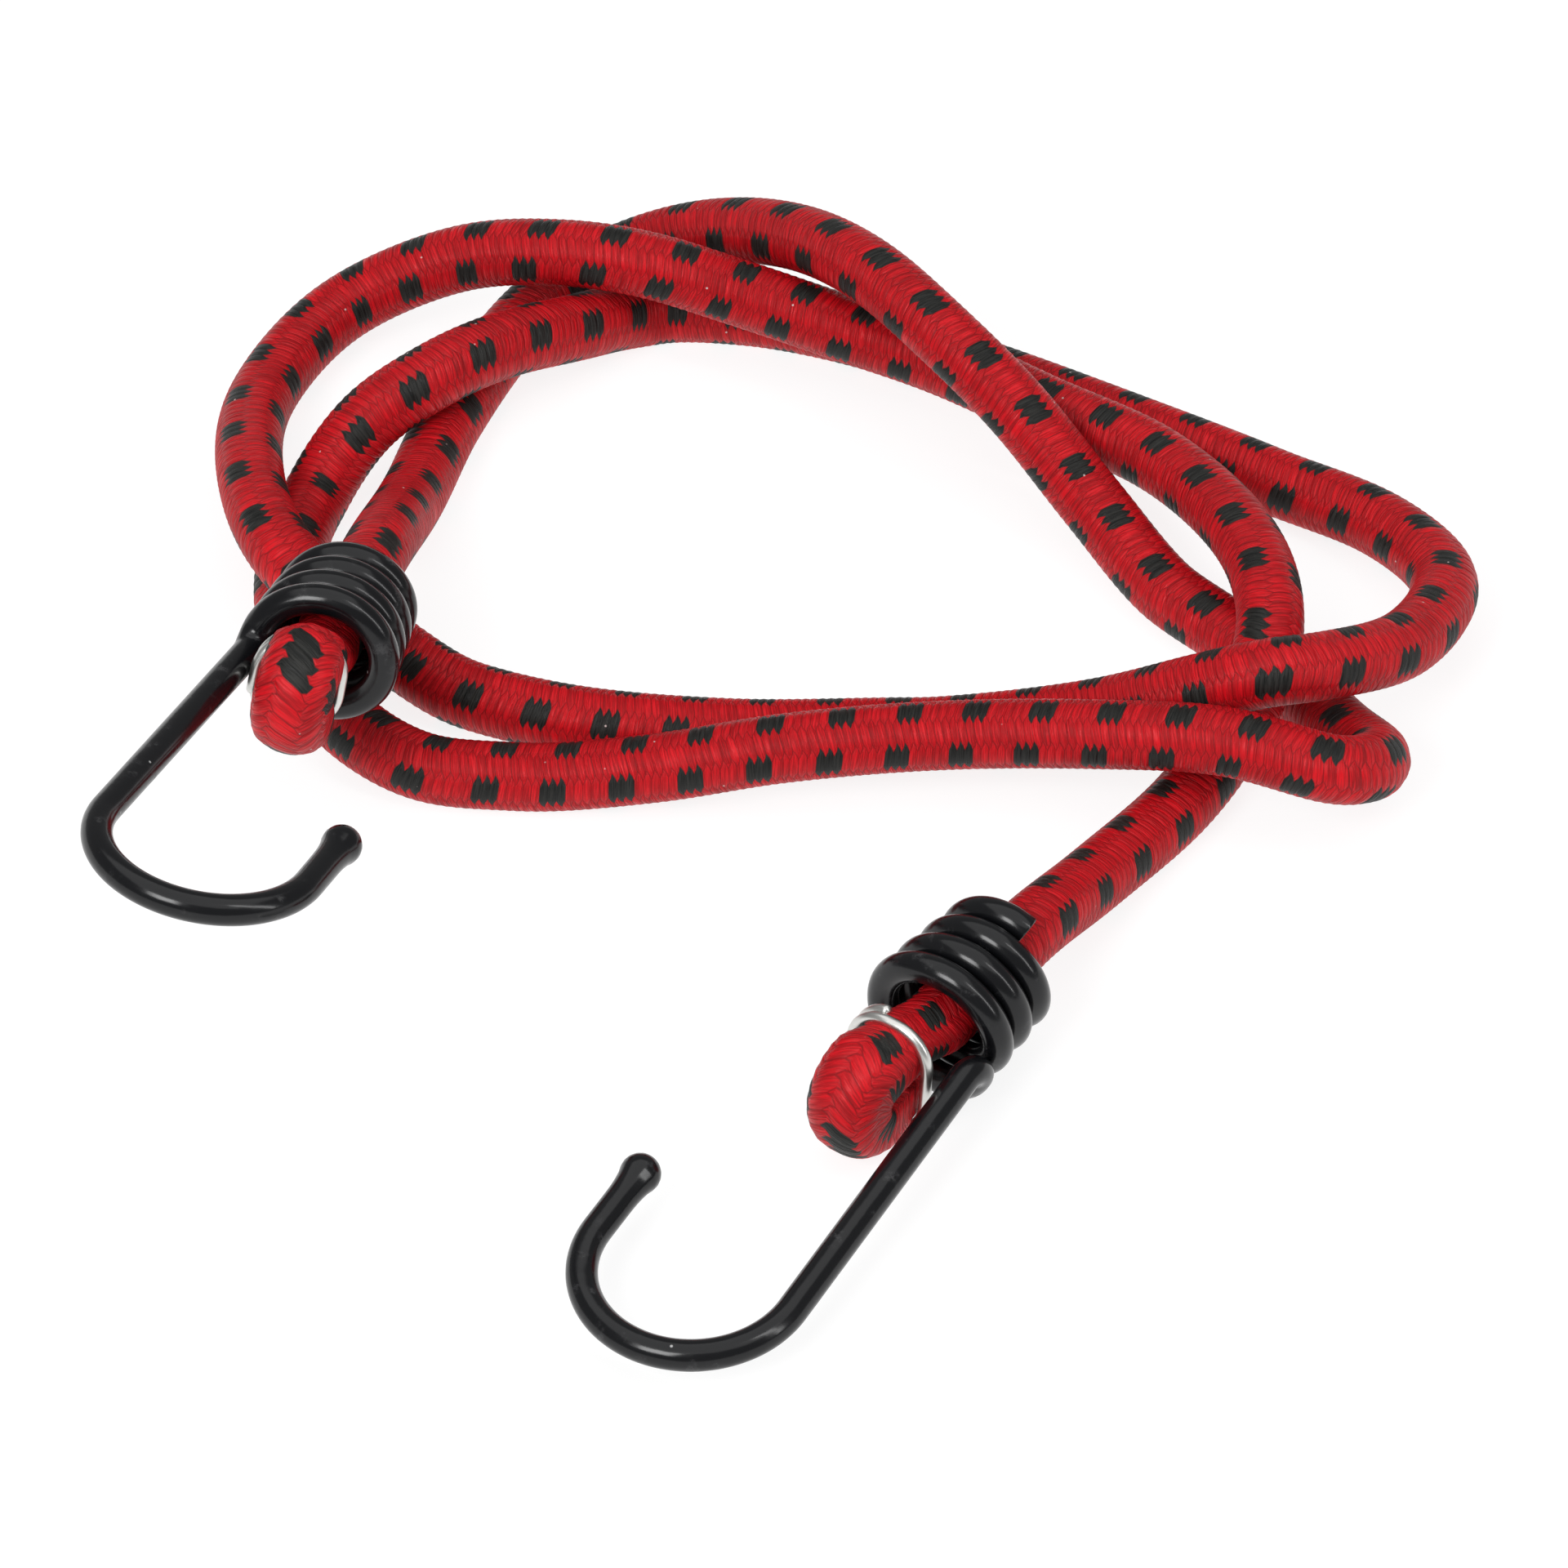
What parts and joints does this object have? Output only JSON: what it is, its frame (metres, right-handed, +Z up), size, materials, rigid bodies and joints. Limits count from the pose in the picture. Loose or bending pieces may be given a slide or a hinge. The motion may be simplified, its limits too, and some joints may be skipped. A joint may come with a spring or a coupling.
{
  "type": "bungee cord",
  "caption": "Elastic cord in a woven cover, lying in loose loops, with a coated wire hook coiled round each folded and crimped end.",
  "frame": {"origin": "on the surface the bundle lies on, under the middle of the two hooks and their rings", "axes": "+Z up from the surface, +Y away from the hooks towards the far loops, +X to the right in the picture's view"},
  "size_m": [0.1548, 0.1876, 0.0361],
  "materials": {
    "cover": "braided polyester, red with black flecks",
    "core": "bundle of natural rubber strands",
    "coating": "dipped vinyl, half gloss, scuffed",
    "steel": "drawn wire",
    "ring": "bright zinc plated wire"
  },
  "bodies": {
    "cord": {"cover_main": "cover", "core_main": "core"},
    "end_a": {"cover_end_a": "cover", "core_end_a": "core", "hog_ring_a": "ring"},
    "hook_a": {"hook_coating_a": "coating", "hook_wire_a": "steel"},
    "end_b": {"cover_end_b": "cover", "core_end_b": "core", "hog_ring_b": "ring"},
    "hook_b": {"hook_coating_b": "coating", "hook_wire_b": "steel"}
  },
  "joints": [
    {"name": "end_a_twist", "type": "hinge", "parent": "cord", "child": "end_a", "pos_m": [-0.02686, 0.04512, 0.02128], "axis": [-0.235, -0.9495, 0.2079], "range_deg": [0, 180]},
    {"name": "hook_a_slide", "type": "slide", "parent": "end_a", "child": "hook_a", "axis": [-0.235, -0.9495, 0.2079], "range_m": [-0.002, 0]},
    {"name": "end_b_twist", "type": "hinge", "parent": "cord", "child": "end_b", "pos_m": [0.04301, -0.00114, 0.00918], "axis": [0.6114, 0.7882, 0.0698], "range_deg": [0, 180]},
    {"name": "hook_b_slide", "type": "slide", "parent": "end_b", "child": "hook_b", "axis": [-0.6114, -0.7882, -0.0698], "range_m": [0, 0.003]}
  ]
}
